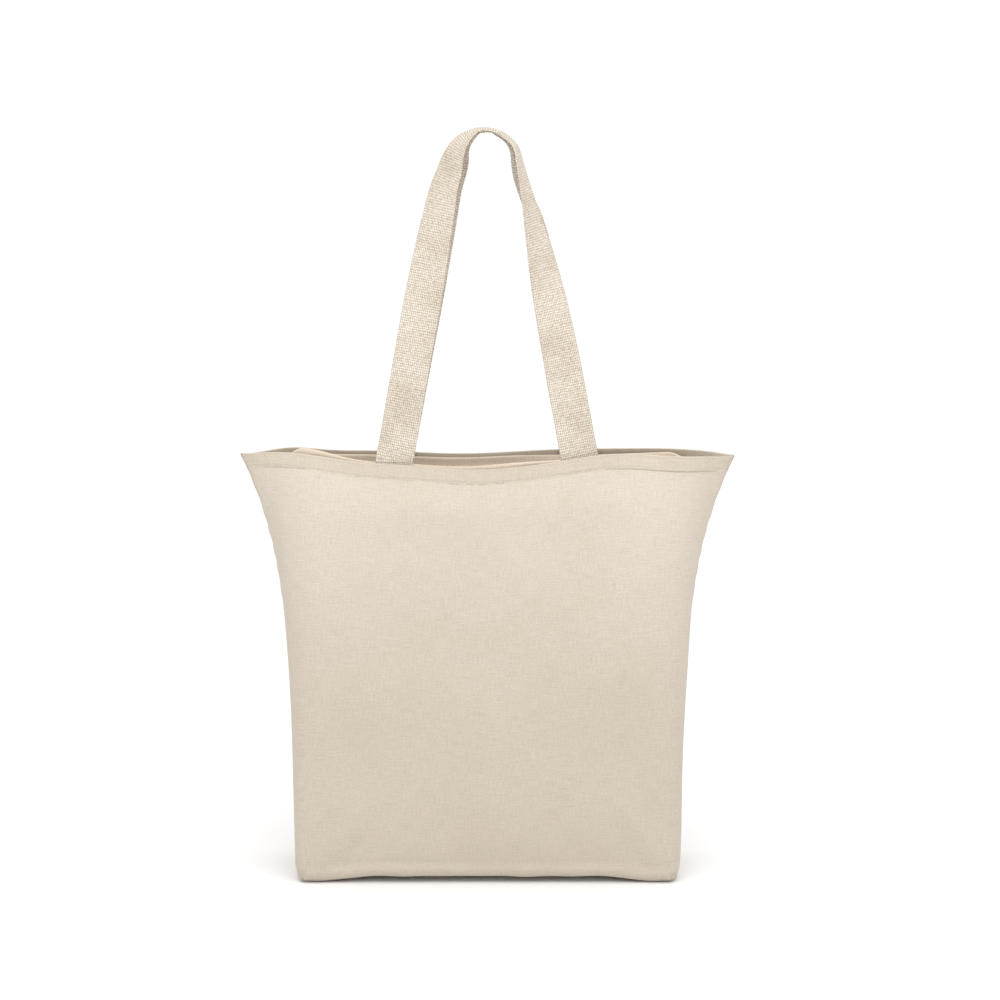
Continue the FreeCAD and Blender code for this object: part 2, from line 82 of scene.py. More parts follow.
PART = 0.130
PART_SLOPE = 0.25

# Sizes that only the looks need.
CLOTH = 0.0008        # the canvas is this thick, and the hem is two layers of it
HEM_ROUND = 0.00085   # radius of the fold at the rim
BASE_ROUND = 0.005    # rounded edge round the base
STITCH = 0.0034
STITCH_GAP = 0.0012
THREAD_ROUND = 0.00028
CELL = 0.0026         # size of the panels' mesh cells
STANDS = 0.0009       # all of the panels' cloth is raised by this, so that its underside clears the floor
CLOTH_STEP = 0.6      # each piece of cloth is cut from a place this far along the pattern
RIB_PITCH = 0.0007    # between the ribs of the zip tape
CANVAS_TINT = (0.665, 0.600, 0.515)
INSIDE_TINT = (0.790, 0.695, 0.575)
WEBBING_TINT = (0.80, 0.725, 0.635)

# The picture's camera, light and floor.
CAMERA_AIM = (0.01175, 0.0, 0.356)
CAMERA_RISE = 9.15
CAMERA_DISTANCE = 3.0
CAMERA_LENS = 114.9
KEY_PLACE = (0.06, -0.95, 1.60)
KEY_AIM = (0, 0, 0.40)
KEY_SIZE = 1.5
KEY_POWER = 10
SUN_WAY = (-0.05, 0.30, -1.0)
SUN_POWER = 0.62
SUN_ANGLE = 60        # so wide a sun lights like an overcast sky
FLOOR_HALF = 40
FLOOR_WHITE = 0.86


def smooth(value):
    value = np.clip(value, 0.0, 1.0)
    return value * value * (3 - 2 * value)


def bump(value, middle, width):
    return np.exp(-(((value - middle) / width) ** 2))


def wander(s, t, seed, scale):
    """Smooth, fixed unevenness from -1 to 1: a sum of waves that never quite repeat."""
    a, b = s / scale, t / scale
    total = np.sin(a * 1.31 + b * 0.62 + seed) + np.sin(a * 0.73 - b * 1.17 + seed * 2.3)
    total = total + np.sin(a * 0.41 + b * 1.53 + seed * 3.1) + np.sin(-a * 1.71 + b * 0.37 + seed * 4.7)
    return total / 4


# ---------- the shape of the cloth ----------

def mouth_half_angle():
    low, high = 0.01, math.pi / 2
    for _ in range(50):
        middle = (low + high) / 2
        if HALF_PANEL * (1 - math.cos(middle)) / middle < MOUTH / 2:
            low = middle
        else:
            high = middle
    return middle


MOUTH_ANGLE = mouth_half_angle()
RIM_HALF = HALF_PANEL * math.sin(MOUTH_ANGLE) / MOUTH_ANGLE
CORNER = HALF_PANEL - GUSSET / 2      # from the middle of a panel to the base's corner, along the cloth
BASE_HALF = CORNER + 0.2 * FOLD_ROUND
STEPS = 240


def quarter(z, inset=0.0):
    """A horizontal section of the cloth, from the right side seam to the middle of a panel: (x, depth)."""
    u = min(max(z / HEIGHT, 0.0), 1.0)
    length = BASE_HALF + LEAN * u + (RIM_HALF - BASE_HALF - LEAN) * u ** 4
    depth = GUSSET / 2 + BELLY * math.sin(math.pi * u) + (MOUTH / 2 - GUSSET / 2) * u ** 5
    start = (math.pi / 2 - MOUTH_ANGLE) * u ** 6
    even = u ** 12
    spread = FOLD_ROUND + FOLD_SPREAD * u
    run = (np.arange(STEPS) + 0.5) * HALF_PANEL / STEPS
    t = smooth((run - GUSSET / 2 + spread) / (2 * spread))
    turned = (1 - even) * t + even * run / HALF_PANEL
    angle = start + (math.pi / 2 - start) * turned
    x = -np.concatenate([[0.0], np.cumsum(np.sin(angle))])
    y = np.concatenate([[0.0], np.cumsum(np.cos(angle))])
    points = np.stack([length - x * length / x[-1], y * depth / y[-1]], 1)
    if inset:
        ahead = np.gradient(points, axis=0)
        ahead /= np.linalg.norm(ahead, axis=1)[:, None]
        points = points + np.stack([-ahead[:, 1], ahead[:, 0]], 1) * inset
        points[:, 1] = np.maximum(points[:, 1], 0.0)
    return points


def cloth_depth(x, z, inset=0.0):
    points = quarter(z, inset)
    return float(np.interp(abs(x), points[::-1, 0], points[::-1, 1]))


def rim_wave(x, front):
    """How far the rim stands above or below its level height."""
    if front:
        return (0.0050 * bump(x, -0.186, 0.042) - 0.0066 * bump(x, -0.012, 0.066)
                - 0.0012 * bump(x, -0.110, 0.03) + 0.0066 * bump(x, 0.118, 0.052)
                - 0.0012 * bump(x, 0.232, 0.02))
    return (0.0046 * bump(x, -0.186, 0.030) - 0.0056 * bump(x, -0.022, 0.075)
            + 0.0028 * bump(x, 0.180, 0.060) - 0.0012 * bump(x, 0.232, 0.02))


def web_there(x):
    """1 where the webbing's ends are sewn in, 0 elsewhere, with soft edges."""
    return smooth((WEB / 2 + 0.002 - abs(abs(x) - LEG)) / 0.004)


# ---------- mesh helpers ----------

def add_mesh(name, points, faces, uvs=None, smooth_faces=True):
    mesh = bpy.data.meshes.new(name)
    mesh.from_pydata([tuple(p) for p in points], [], faces)
    if uvs is not None:
        layer = mesh.uv_layers.new(name="Cloth")
        index = np.zeros(len(mesh.loops), np.int32)
        mesh.loops.foreach_get("vertex_index", index)
        layer.data.foreach_set("uv", np.asarray(uvs, np.float32)[index].ravel())
    mesh.polygons.foreach_set("use_smooth", [smooth_faces] * len(mesh.polygons))
    mesh.update()
    obj = bpy.data.objects.new(name, mesh)
    bpy.context.scene.collection.objects.link(obj)
    return obj


def grid_faces(rows, columns, first=0, closed=False, flip=False):
    faces = []
    for r in range(rows - 1):
        for c in range(columns if closed else columns - 1):
            d = (c + 1) % columns
            face = (first + r * columns + c, first + r * columns + d,
                    first + (r + 1) * columns + d, first + (r + 1) * columns + c)
            faces.append(face[::-1] if flip else face)
    return faces


def apply_modifiers(obj):
    graph = bpy.context.evaluated_depsgraph_get()
    done = bpy.data.meshes.new_from_object(obj.evaluated_get(graph))
    obj.modifiers.clear()
    obj.data = done
    return obj


def thicken(obj, wall):
    solid = obj.modifiers.new("Thickness", "SOLIDIFY")
    solid.thickness = wall
    solid.offset = -1
    solid.use_even_offset = False
    return obj


# ---------- panels ----------



def panel_levels():
    """(height, inset) of each row from the base's edge over the rim to the hem's end, and its place along."""
    rows = []
    corner = 7
    for i in range(corner):
        a = math.pi / 2 * i / corner
        rows.append([BASE_ROUND * (1 - math.cos(a)), BASE_ROUND * (1 - math.sin(a))])
    top = HEIGHT - HEM_ROUND
    hem_line = HEIGHT - HEM
    wall = round((hem_line - 0.006 - BASE_ROUND) / CELL)
    rows += [[BASE_ROUND + (hem_line - 0.006 - BASE_ROUND) * i / wall, 0.0] for i in range(wall)]
    fine = round((top - hem_line + 0.006) / 0.0008)
    rows += [[hem_line - 0.006 + (top - hem_line + 0.006) * i / fine, 0.0] for i in range(fine)]
    over = 6
    for i in range(over + 1):
        a = math.pi * i / over
        rows.append([top + HEM_ROUND * math.sin(a), HEM_ROUND * (1 - math.cos(a))])
    inside = 10
    rows += [[top - (HEM - HEM_ROUND) * (i + 1) / inside, 2 * HEM_ROUND] for i in range(inside)]
    rows = np.array(rows)
    along = np.concatenate([[0.0], np.cumsum(np.hypot(*np.diff(rows, axis=0).T))])
    return rows, along


def relief(s, z, front):
    """Outward shape of the cloth beyond its plain section: soft waves, the hem's step, seams and puckers."""
    seed = 1.7 if front else 4.2
    up = z / HEIGHT
    height = 0.0016 * wander(s, z, seed, 0.052) + 0.0006 * wander(s, z * 0.5, seed + 3, 0.019)
    height = height * smooth(z / 0.03) * smooth((HEIGHT + 0.02 - z) / 0.05)
    # soft slanting drags that run down from where the handles pull
    for side in (-1, 1):
        lean = s - side * LEG + side * (HEIGHT - z) * 0.16
        height = height + 0.0011 * bump(lean, 0.0, 0.022) * up ** 3 * smooth((HEIGHT - z) / 0.02)
        height = height - 0.0008 * bump(lean, side * 0.040, 0.020) * up ** 2 * smooth((HEIGHT - z) / 0.02)
    # wider hollow across the front's lower half, where the empty bag sags
    height = height - 0.0016 * bump(s, 0.02, 0.11) * bump(z, 0.12, 0.09)
    # the foot of the panel draws back under the belly, and folds run up from the base's corners
    middle = smooth((CORNER + 0.004 - np.abs(s)) / 0.05)
    height = height - 0.0034 * middle * np.clip(1 - z / 0.085, 0, 1) ** 2
    for side, steep in ((-1, 1.25), (1, 1.7)):
        fold = (CORNER - 0.006 - side * s) * steep - z
        height = height + 0.0013 * bump(fold, 0.0, 0.016) * smooth(z / 0.02) * smooth((0.115 - z) / 0.09)
        height = height - 0.0009 * bump(fold, 0.034, 0.020) * smooth(z / 0.02) * smooth((0.100 - z) / 0.08)
    # the cloth fills out just under the hem, and the hem itself stands upright
    line = HEIGHT - HEM
    height = height + 0.0022 * bump(z, line - 0.026, 0.020) * smooth((0.21 - np.abs(s)) / 0.07)
    height = height + 0.09 * np.clip(z - line + 0.001, 0, None)
    # the hem is a second layer; its lower edge shows as a small step with a stitched groove
    height = height + 0.0005 * smooth((z - line + 0.0008) / 0.0018)
    for level, deep in ((line + 0.0012, 0.0007), (HEIGHT - 0.0030, 0.0003)):
        height = height - deep * bump(z, level, 0.0011)
        pucker = np.sin(s / 0.0046 * 2 + 2.2 * wander(s, z * 0, seed, 0.013))
        pucker = pucker * (0.6 + 0.4 * wander(s, 0 * z, seed + 1, 0.021))
        height = height + 0.00042 * pucker * bump(z, level, 0.0044)
    # the sewn ends of the webbing stand out through the hem
    height = height + 0.0007 * web_there(s) * smooth((z - line - 0.0006) / 0.0012)
    # side seam: the two panels come together to the same line, drawn in and puckered alike
    edge = HALF_PANEL - np.abs(s)
    height = height * smooth(edge / 0.022)
    seam = 0.0009 * bump(edge, 0.0, 0.0030)
    seam = seam + 0.00035 * bump(edge, 0.0, 0.008) * np.sin(z / 0.0031 + 1.9 * wander(z, s * 0, 2.9, 0.012))
    height = height - seam * smooth((HEIGHT - z) / 0.01)
    return height


def base_lift(x, front):
    """How far the base's edge is lifted off the floor, with the small puckers of its seam."""
    seed = 0.9 if front else 3.3
    if front:
        lift = 0.0048 * smooth((0.163 - np.abs(x + 0.002)) / 0.055)
    else:
        lift = 0.0030 * smooth((0.140 - np.abs(x)) / 0.08)
    return lift + 0.0007 * wander(x, x * 0, seed, 0.011) * smooth((0.17 - np.abs(x)) / 0.02)


def build_panel(front):
    rows, along = panel_levels()
    half_columns = round(HALF_PANEL / CELL)
    places = np.linspace(0, STEPS, half_columns + 1)
    whole = np.arange(STEPS + 1)
    s_half = HALF_PANEL * (1 - np.arange(half_columns + 1) / half_columns)
    s = np.concatenate([-s_half[:-1], s_half[::-1]])       # left seam to right seam
    side = -1 if front else 1
    points, uvs = [], []
    flip_rim = int(np.argmax(rows[:, 0]))
    for index, (z, inset) in enumerate(rows):
        plain = quarter(z)
        ahead = np.gradient(plain, axis=0)
        ahead /= np.linalg.norm(ahead, axis=1)[:, None]
        outward = np.stack([ahead[:, 1], -ahead[:, 0]], 1)
        position = np.interp(places, whole, plain[:, 0])
        depth = np.interp(places, whole, plain[:, 1])
        out_x = np.interp(places, whole, outward[:, 0])
        out_y = np.interp(places, whole, outward[:, 1])
        x = np.concatenate([-position[:-1], position[::-1]])
        y = np.concatenate([depth[:-1], depth[::-1]])
        nx = np.concatenate([-out_x[:-1], out_x[::-1]])
        ny = np.concatenate([out_y[:-1], out_y[::-1]])
        level = np.full_like(s, z)
        out = relief(s, level, front) - inset
        # the turned layer follows the outer one less closely
        if index > flip_rim:
            out = relief(s, np.full_like(s, HEIGHT - 0.001), front) * 0.6 - inset
        px = x + nx * out
        py = np.maximum(y + ny * out, 0.0)
        wave = rim_wave(x, front) * smooth((z - HEIGHT + 0.15) / 0.14)
        # the corners at the base: soft, gathered where three layers of seam meet
        corner = bump(np.hypot(np.abs(s) - CORNER, (z - 0.004) * 1.1), 0.0, 0.020)
        turn = np.arctan2(z - 0.002, np.abs(s) - CORNER)
        tuck = corner * (0.0008 * np.sin(turn * 7 + (1 if front else 2)) - 0.0012)
        near = smooth((0.040 - np.abs(np.abs(s) - CORNER)) / 0.034)
        tuck = tuck - 0.0030 * near * max(0.0, 1 - z / 0.019) ** 2.2
        px = px + nx * tuck
        py = py + ny * tuck
        lift = base_lift(x, front) * smooth((0.055 - z) / 0.055)
        facing = smooth((CORNER + 0.008 - np.abs(s)) / 0.02)
        roll = 0.0010 * bump(z, 0.0080, 0.0034) - 0.0005 * bump(z, 0.0165, 0.0030)
        roll = roll * facing * (1 + 0.5 * wander(s, z * 0, 5.1, 0.017))
        pz = level + wave + lift * facing + STANDS
        py = py + roll
        py[0] = py[-1] = 0.0
        points.append(np.stack([px, side * py, pz], 1))
        uvs.append(np.stack([s + (0.0 if front else CLOTH_STEP), np.full_like(s, along[index])], 1))
    columns = len(s)
    # the base: a patch whose front edge is the wall's bottom row and whose sides are the bottoms of the sides
    bottom = points[0]
    corner_column = round(GUSSET / 2 / HALF_PANEL * half_columns)
    depth_rows = corner_column
    left = bottom[corner_column::-1]
    right = bottom[columns - 1 - corner_column:]
    edge = bottom[corner_column:columns - corner_column]
    wide = len(edge)
    extra, extra_uv = [], []
    for j in range(1, depth_rows + 1):
        t = j / depth_rows
        share = np.linspace(0, 1, wide)[:, None]
        x = left[j][0] * (1 - share[:, 0]) + right[j][0] * share[:, 0]
        y = edge[:, 1] * (1 - t)
        sag = 0.0010 * wander(x, y, 2.2, 0.03)
        inner = edge[:, 2] * 0.9 + 0.0010 + sag * 0.6
        z = edge[:, 2] * (1 - smooth(t * 2.2)) + inner * smooth(t * 2.2)
        z = z - 0.0006 * bump(t, 1.0, 0.03)
        ends = smooth(np.minimum(share[:, 0], 1 - share[:, 0]) * wide / 5)
        z = left[j][2] * (1 - ends) + np.maximum(z, 0.0004) * ends
        row = np.stack([x, y, z], 1)
        row[0], row[-1] = left[j], right[j]
        extra.append(row)
        patch_uv = np.stack([s[corner_column:columns - corner_column], np.full(wide, -t * GUSSET / 2)], 1)
        extra_uv.append(patch_uv + [0.0 if front else CLOTH_STEP, 0.0])
    all_points = np.concatenate(points + extra)
    all_uv = np.concatenate(uvs + extra_uv)
    faces = grid_faces(len(rows), columns, flip=not front)
    first = len(rows) * columns

    def patch_index(j, i):
        if j == 0:
            return corner_column + i
        if i == 0:
            return corner_column - j
        if i == wide - 1:
            return columns - 1 - corner_column + j
        return first + (j - 1) * wide + i

    for j in range(depth_rows):
        for i in range(wide - 1):
            face = (patch_index(j, i), patch_index(j + 1, i),
                    patch_index(j + 1, i + 1), patch_index(j, i + 1))
            faces.append(face if front else face[::-1])
    used = sorted({v for f in faces for v in f})
    place = {v: i for i, v in enumerate(used)}
    name = ("front" if front else "back") + "_canvas_panel"
    obj = add_mesh(name, all_points[used], [tuple(place[v] for v in f) for f in faces], all_uv[used])
    thicken(obj, CLOTH)
    apply_modifiers(obj)
    return obj


# ---------- stitches ----------

def stitches(name, route, normals, length=STITCH, gap=STITCH_GAP):
    """A row of separate stitches along a route, each a short thread that dips into the cloth at its ends."""
    route = np.asarray(route)
    steps = np.concatenate([[0.0], np.cumsum(np.linalg.norm(np.diff(route, axis=0), axis=1))])
    points, faces = [], []
    sides, rings = 6, 6
    count = int(steps[-1] / (length + gap))
    for k in range(count):
        begin = k * (length + gap)
        centre, frame_dirs = [], []
        for r in range(rings + 1):
            at = begin + length * r / rings
            p = np.array([np.interp(at, steps, route[:, a]) for a in range(3)])
            q = np.array([np.interp(at + 0.0005, steps, route[:, a]) for a in range(3)])
            n = np.array([np.interp(at, steps, normals[:, a]) for a in range(3)])
            n /= np.linalg.norm(n)
            ahead = (q - p) / max(np.linalg.norm(q - p), 1e-9)
            arch = math.sin(math.pi * r / rings)
            slant = 0.00012 * (r / rings - 0.5)
            across = np.cross(ahead, n)
            centre.append(p + n * (THREAD_ROUND * (arch * 1.25 - 0.75)) + across * slant)
            frame_dirs.append((n, across, THREAD_ROUND * (0.45 + 0.55 * min(1.0, arch * 1.8))))
        first = len(points)
        for p, (n, across, radius) in zip(centre, frame_dirs):
            for i in range(sides):
                a = 2 * math.pi * i / sides
                points.append(p + (n * math.cos(a) + across * math.sin(a)) * radius)
        faces += grid_faces(rings + 1, sides, first, closed=True)
        faces.append(tuple(first + i for i in range(sides))[::-1])
        faces.append(tuple(first + rings * sides + i for i in range(sides)))
    return add_mesh(name, points, [tuple(int(v) for v in f) for f in faces])


def hem_rows(front):
    """Both rows of stitches on one hem: one along its lower edge and one just under the rim."""
    side = -1 if front else 1
    made = []
    for level, word in ((HEIGHT - HEM + 0.0012, "lower"), (HEIGHT - 0.0030, "upper")):
        s = np.linspace(-HALF_PANEL + 0.003, HALF_PANEL - 0.003, 700)
        plain = quarter(level)
        run = np.linspace(HALF_PANEL, 0, STEPS + 1)
        ahead = np.gradient(plain, axis=0)
        ahead /= np.linalg.norm(ahead, axis=1)[:, None]
        x = np.interp(np.abs(s), run[::-1], plain[::-1, 0]) * np.sign(s)
        y = np.interp(np.abs(s), run[::-1], plain[::-1, 1])
        nx = np.interp(np.abs(s), run[::-1], ahead[::-1, 1]) * np.sign(s)
        ny = np.interp(np.abs(s), run[::-1], -ahead[::-1, 0])
        out = relief(s, np.full_like(s, level), front)
        wave = rim_wave(x, front) * smooth((level - HEIGHT + 0.15) / 0.14)
        route = np.stack([x + nx * out, side * (y + ny * out), level + wave + STANDS], 1)
        normals = np.stack([nx, side * ny, np.zeros_like(nx)], 1)
        made.append(stitches(("front_" if front else "back_") + word + "_hem_stitches", route, normals))
    return made


# ---------- handles ----------

def webbing_section(half, wall):
    """The webbing's outline as (across, normal) pairs, and their places round it."""
    outline = []
    flat = np.linspace(-1, 1, 15)
    for a in flat:
        outline.append((a * (half - wall * 0.5), wall * (0.5 - 0.04 * abs(a) ** 6)))
    for i in range(1, 4):
        t = math.pi * i / 4
        outline.append((half - wall * 0.5 + wall * 0.5 * math.sin(t), wall * 0.5 * math.cos(t)))
    for a in flat[::-1]:
        outline.append((a * (half - wall * 0.5), -wall * (0.5 - 0.04 * abs(a) ** 6)))
    for i in range(1, 4):
        t = math.pi * i / 4
        outline.append((-(half - wall * 0.5) - wall * 0.5 * math.sin(t), -wall * 0.5 * math.cos(t)))
    outline = np.array(outline)
    steps = np.concatenate([[0.0], np.cumsum(np.linalg.norm(np.diff(outline, axis=0), axis=1))])
    return outline, steps


def turned(side, share):
    """The share of its turn, from facing forwards to facing up, that the webbing has made at this height."""
    if side < 0:
        heights, turns = (0, 0.45, 0.64, 0.79, 0.90, 0.96, 1), (0, 0.02, 0.22, 0.40, 0.55, 0.74, 1)
    else:
        heights, turns = (0, 0.25, 0.49, 0.64, 0.79, 0.86, 1), (0, 0.04, 0.30, 0.55, 0.78, 0.85, 1)
    return float(np.interp(share, heights, turns))


def handle_route(front):
    """Stations of one handle, from its left sewn end to its right one: point, way across, way out."""
    rise = RISE if front else RISE - BACK_DROP
    shift = SHIFT if front else SHIFT + BACK_SHIFT
    inner = cloth_depth(LEG - WEB / 2, HEIGHT, WALL)
    outer = cloth_depth(LEG + WEB / 2, HEIGHT, WALL)
    base_y = (inner + outer) / 2 - GAP - WEB_THICK / 2
    base_turn = math.atan2(inner - outer, WEB)
    bow = 0.0012
    lines = []
    for side in (-1, 1):
        bend = BEND * 1.8 if side < 0 and front else BEND * 1.25
        leg_top = rise - bend
        bend_half = LEG - LEG_LEAN * leg_top / rise
        path = []
        for up in np.linspace(-HEM, 0, 8)[:-1]:
            path.append((side * LEG, up, base_turn))
        count = 110
        for i in range(count):
            up = leg_top * i / count
            share = up / rise
            x = side * (LEG - (LEG - bend_half) * smooth(up / 0.012) * up / leg_top)
            x += side * bow * math.sin(math.pi * i / count)
            path.append((x, up, base_turn + (math.pi / 2 - base_turn) * turned(side, share)))
        count = 26
        for i in range(count):
            a = math.pi / 2 * i / count
            up = leg_top + bend * math.sin(a)
            share = up / rise
            angle = base_turn + (math.pi / 2 - base_turn) * turned(side, share)
            path.append((side * bend_half * math.cos(a), up, angle))
        lines.append(path)
    left, right = lines
    stations = left + [(0.0, rise, math.pi / 2)] + right[::-1]
    x, up, turn = (np.array(v) for v in zip(*stations))
    share = np.clip(up / rise, 0, 1)
    x = x + shift * share ** 2
    x = x + 0.0045 * smooth((-x - 0.004) / 0.014) * smooth((share - 0.80) / 0.12)
    # the back loop nests inside the front one near its top
    if not front:
        x = x - 0.0085 * smooth((x - 0.004) / 0.012) * smooth((share - 0.72) / 0.16)
    for _ in range(14):
        turn[9:-9] = (turn[8:-10] + 2 * turn[9:-9] + turn[10:-8]) / 4
    for _ in range(6):
        x[9:-9] = (x[8:-10] + 2 * x[9:-9] + x[10:-8]) / 4
        up[9:-9] = (up[8:-10] + 2 * up[9:-9] + up[10:-8]) / 4
    y = base_y + (REACH - base_y) * smooth(share)
    sway = 0.0009 * wander(up, x, 2.0 if front else 5.0, 0.045) * smooth(up / 0.03)
    y = y + sway * smooth((rise - 0.03 - up) / 0.04)
    line = np.stack([x, -y, HEIGHT + up], 1)
    ahead = np.gradient(np.stack([x, np.zeros_like(x), up], 1), axis=0)
    ahead /= np.linalg.norm(ahead, axis=1)[:, None]
    flat = np.stack([ahead[:, 2], np.zeros_like(x), -ahead[:, 0]], 1)
    twist = 0.05 * wander(up, x * 0, 1.0 if front else 3.0, 0.05) * smooth(up / 0.04)
    turn = turn + twist * smooth((rise - 0.02 - up) / 0.05)
    across = flat * np.cos(turn)[:, None] + np.stack([x * 0, -np.sin(turn), x * 0], 1)
    normal = np.cross(ahead, across)
    if not front:
        mirror = np.array([1, -1, 1])
        line, across, normal = line * mirror, across * mirror, normal * mirror
    return line, across, normal


def build_handle(front):
    line, across, normal = handle_route(front)
    outline, around = webbing_section(WEB / 2, WEB_THICK)
    steps = np.concatenate([[0.0], np.cumsum(np.linalg.norm(np.diff(line, axis=0), axis=1))])
    points, uvs = [], []
    for index in range(len(line)):
        # a slight cupping across the strip, which grows where it is bent
        cup = 0.0004 * math.cos(2 * math.pi * steps[index] / 0.31 + (0 if front else 2))
        for (a, b), u in zip(outline, around):
            lift = cup * ((a / (WEB / 2)) ** 2 - 0.3) * smooth((line[index][2] - HEIGHT) / 0.02)
            at_edge = abs(a) > WEB / 2 - WEB_THICK * 0.6
            edge = 0.0002 * math.sin(steps[index] / 0.0023 * math.pi) * at_edge * np.sign(a)
            points.append(line[index] + across[index] * (a + edge) + normal[index] * (b + lift))
            uvs.append((u, steps[index]))
    count = len(outline)
    faces = grid_faces(len(line), count, closed=True, flip=front)
    ends = [tuple(range(count)), tuple(len(points) - count + i for i in range(count))]
    faces.append(ends[0] if front else ends[0][::-1])
    faces.append(ends[1][::-1] if front else ends[1])
    obj = add_mesh(("front" if front else "back") + "_webbing_handle", points, faces, uvs)
    # the seam of the map runs down one edge, so its last column gets its own place
    layer = obj.data.uv_layers["Cloth"]
    wrap = around[-1] + (around[1] - around[0])
    for polygon in obj.data.polygons:
        loops = list(polygon.loop_indices)
        if len(loops) != 4:
            continue
        us = [layer.data[i].uv[0] for i in loops]
        if max(us) - min(us) > wrap / 2:
            for i in loops:
                if layer.data[i].uv[0] < wrap / 2:
                    layer.data[i].uv[0] += wrap
    return obj


# ---------- zip ----------

def zip_line(x):
    fold_y = cloth_depth(x, HEIGHT, WALL) - 2 * GAP - WEB_THICK - 0.0005 - PLACKET_WALL - GAP - TAPE_WALL / 2
    fold = np.array([fold_y, HEIGHT + 0.001])
    drop = PLACKET_DEPTH + TAPE_DEPTH - TAPE_OVERLAP
    hang_edge = np.array([fold[0], fold[1] - drop])
    hang_bend = np.array([fold[0], hang_edge[1] + TAPE_FLAT])
    apart = TAPE_EDGE + PART_SLOPE * max(0.0, MEET - max(x, PART))
    shut_edge = np.array([apart, ZIP_LEVEL])
    shut_bend = np.array([apart + TAPE_FLAT, ZIP_LEVEL])
    share = float(smooth(x / PART))
    return hang_edge + (shut_edge - hang_edge) * share, hang_bend + (shut_bend - hang_bend) * share, fold


def placket_rise(x, front):
    """How far the placket's folded edge stands above the panel's rim here."""
    if front:
        rise = 0.0042 * bump(x, -0.165, 0.030) + 0.0032 * bump(x, 0.022, 0.048) - 0.0012 * bump(x, 0.12, 0.05)
        rise = rise - 0.0040 * smooth((x - 0.080) / 0.024)
        return rise - 0.0110 * smooth((abs(x) - 0.172) / 0.024)
    rise = -0.0040 + 0.0010 * wander(np.asarray(x), np.asarray(x) * 0, 2.0, 0.04)
    return rise - 0.008 * smooth((abs(x) - 0.17) / 0.025)


def build_placket(front):
    """A strip of canvas, folded double over its top edge and sewn behind the hem, for one side of the zip."""
    side = -1 if front else 1
    stations = np.linspace(-PLACKET_HALF, PLACKET_HALF, 196)
    inner_near = TAPE_WALL / 2 + GAP
    points, uvs = [], []
    for x in stations:
        _, bend, fold = zip_line(x)
        wave = rim_wave(x, front) + placket_rise(x, front)
        up = (fold - bend) / np.linalg.norm(fold - bend)
        out = np.array([up[1], -up[0]])
        low = bend + up * (TAPE_DEPTH - TAPE_FLAT - TAPE_OVERLAP)
        length = np.linalg.norm(fold - low)
        # near the top the strip leans to the hem that it is sewn to, except behind the webbing
        hug = 0.0021 * (1 - web_there(x))
        ripple = 0.0003 * (1 + wander(np.asarray(x), np.asarray(0.0), 3.0 if front else 6.0, 0.016))
        path = []
        count = 18
        for i in range(count + 1):
            t = i / count
            p = low + up * length * t + out * (inner_near + PLACKET_WALL)
            p = p + out * hug * smooth((t - 0.45) / 0.4) + out * ripple * (1 - t)
            path.append(p + np.array([0.0, wave * smooth((t - 0.2) / 0.8)]))
        half = PLACKET_WALL / 2
        top = path[-1] - np.array([0.0, half])
        half_turn = [np.array([math.cos(a), math.sin(a)]) for a in np.linspace(0, math.pi, 7)]
        path = path[:-1] + [top + half * way - np.array([half, 0]) for way in half_turn]
        outer = path[:count]
        path += [p - out * PLACKET_WALL for p in outer[::-1]]
        run = 0.0
        for i, p in enumerate(path):
            if i:
                run += float(np.linalg.norm(p - path[i - 1]))
            points.append((x, side * p[0], p[1]))
            uvs.append((x + CLOTH_STEP * (2 if front else 3), run))
    columns = len(path)
    obj = add_mesh(("front" if front else "back") + "_zip_placket", points,
                   grid_faces(len(stations), columns, flip=not front), uvs)
    thicken(obj, 0.00072)
    apply_modifiers(obj)
    return obj


def build_tape(front):
    side = -1 if front else 1
    stations = np.linspace(-PLACKET_HALF, PLACKET_HALF, 261)
    points, uvs = [], []
    for x in stations:
        edge, bend, fold = zip_line(x)
        up = (fold - bend) / np.linalg.norm(fold - bend)
        half = TAPE_WALL / 2
        route = [edge + (bend - edge) * t for t in (0.0, 0.25, 0.5, 0.72, 0.9)]
        route += [bend + up * t * (TAPE_DEPTH - TAPE_FLAT) for t in (0.12, 0.4, 0.7, 1.0)]
        # the bend itself is a soft one
        route = np.array(route)
        route[1:-1] = (route[:-2] + 2 * route[1:-1] + route[2:]) / 4
        ahead = np.gradient(route, axis=0)
        ahead /= np.linalg.norm(ahead, axis=1)[:, None]
        out = np.stack([ahead[:, 1], -ahead[:, 0]], 1)
        ring = [p + n * half for p, n in zip(route, out)]
        ring += [p - n * half for p, n in zip(route[::-1], out[::-1])]
        run = 0.0
        for i, p in enumerate(ring):
            points.append((x, side * p[0], p[1]))
            if i:
                run += float(np.linalg.norm(p - ring[i - 1]))
            uvs.append((x, run))
    columns = len(ring)
    faces = grid_faces(len(stations), columns, closed=True, flip=not front)
    ends = [tuple(range(columns)), tuple(len(points) - columns + i for i in range(columns))]
    faces.append(ends[0] if not front else ends[0][::-1])
    faces.append(ends[1][::-1] if not front else ends[1])
    return add_mesh(("front" if front else "back") + "_zipper_tape", points, faces, uvs)


def coil_middle(x):
    edge, bend, _ = zip_line(x)
    return edge + (edge - bend) / np.linalg.norm(edge - bend) * (GAP + COIL_ROUND)


